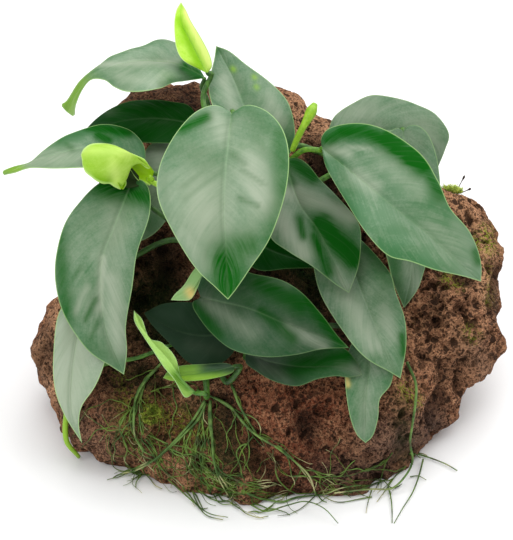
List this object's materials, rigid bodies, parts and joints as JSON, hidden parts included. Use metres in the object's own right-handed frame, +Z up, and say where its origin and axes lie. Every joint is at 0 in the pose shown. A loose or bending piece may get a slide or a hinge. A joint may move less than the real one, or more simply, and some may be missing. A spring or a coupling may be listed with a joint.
{
  "type": "anubias on stone",
  "caption": "Broad-leaved water plant whose creeping rhizome and roots hold it on a lump of porous red-brown lava stone that stands on its flat underside.",
  "frame": {"origin": "middle of the stone's flat underside, on the surface that the stone stands on", "axes": "+Z up, -Y towards the front of the pictured view, +X to the viewer's right"},
  "size_m": [0.2462, 0.206, 0.1963],
  "materials": {
    "lava": "matt porous red-brown lava stone",
    "leaf": "satin leathery green leaf",
    "young_leaf": "satin lime young leaf",
    "stem": "satin green leaf stalk",
    "rhizome": "matt green-brown rhizome",
    "root": "matt dark green root",
    "moss": "matt yellow-green moss"
  },
  "bodies": {
    "root": {"stone": "lava", "rhizome": "rhizome", "leaf_front": "leaf", "leaf_right": "leaf", "leaf_rear_right": "leaf", "leaf_right_behind": "leaf", "leaf_upper": "leaf", "leaf_upper_left": "leaf", "leaf_left": "leaf", "leaf_upper_left_behind": "leaf", "leaf_left_hanging": "leaf", "leaf_lower_left": "leaf", "leaf_inner_left": "leaf", "leaf_folded_tip": "leaf", "leaf_right_inner": "leaf", "leaf_right_long": "leaf", "leaf_low_pale": "leaf", "leaf_centre_low": "leaf", "leaf_under_low": "leaf", "leaf_centre_dark": "leaf", "leaf_low_left_dark": "leaf", "leaf_low_left_bright": "leaf", "leaf_curled": "leaf", "leaf_young_spear": "young_leaf", "leaf_young_rolled": "young_leaf", "stem_front": "stem", "stem_right": "stem", "stem_rear_right": "stem", "stem_right_behind": "stem", "stem_upper": "stem", "stem_upper_left": "stem", "stem_left": "stem", "stem_upper_left_behind": "stem", "stem_left_hanging": "stem", "stem_lower_left": "stem", "stem_inner_left": "stem", "stem_folded_tip": "stem", "stem_right_inner": "stem", "stem_right_long": "stem", "stem_low_pale": "stem", "stem_centre_low": "stem", "stem_under_low": "stem", "stem_centre_dark": "stem", "stem_low_left_dark": "stem", "stem_low_left_bright": "stem", "stem_curled": "stem", "stem_young_spear": "young_leaf", "stem_young_rolled": "young_leaf", "new_shoot": "young_leaf", "low_shoot": "young_leaf", "root_left": "root", "root_hanging": "root", "root_outer": "root", "root_slanting": "root", "root_right": "root", "root_floor_left": "root", "root_floor_middle": "root", "root_floor_right": "root", "moss_right": "moss", "moss_front": "moss"}
  },
  "joints": []
}
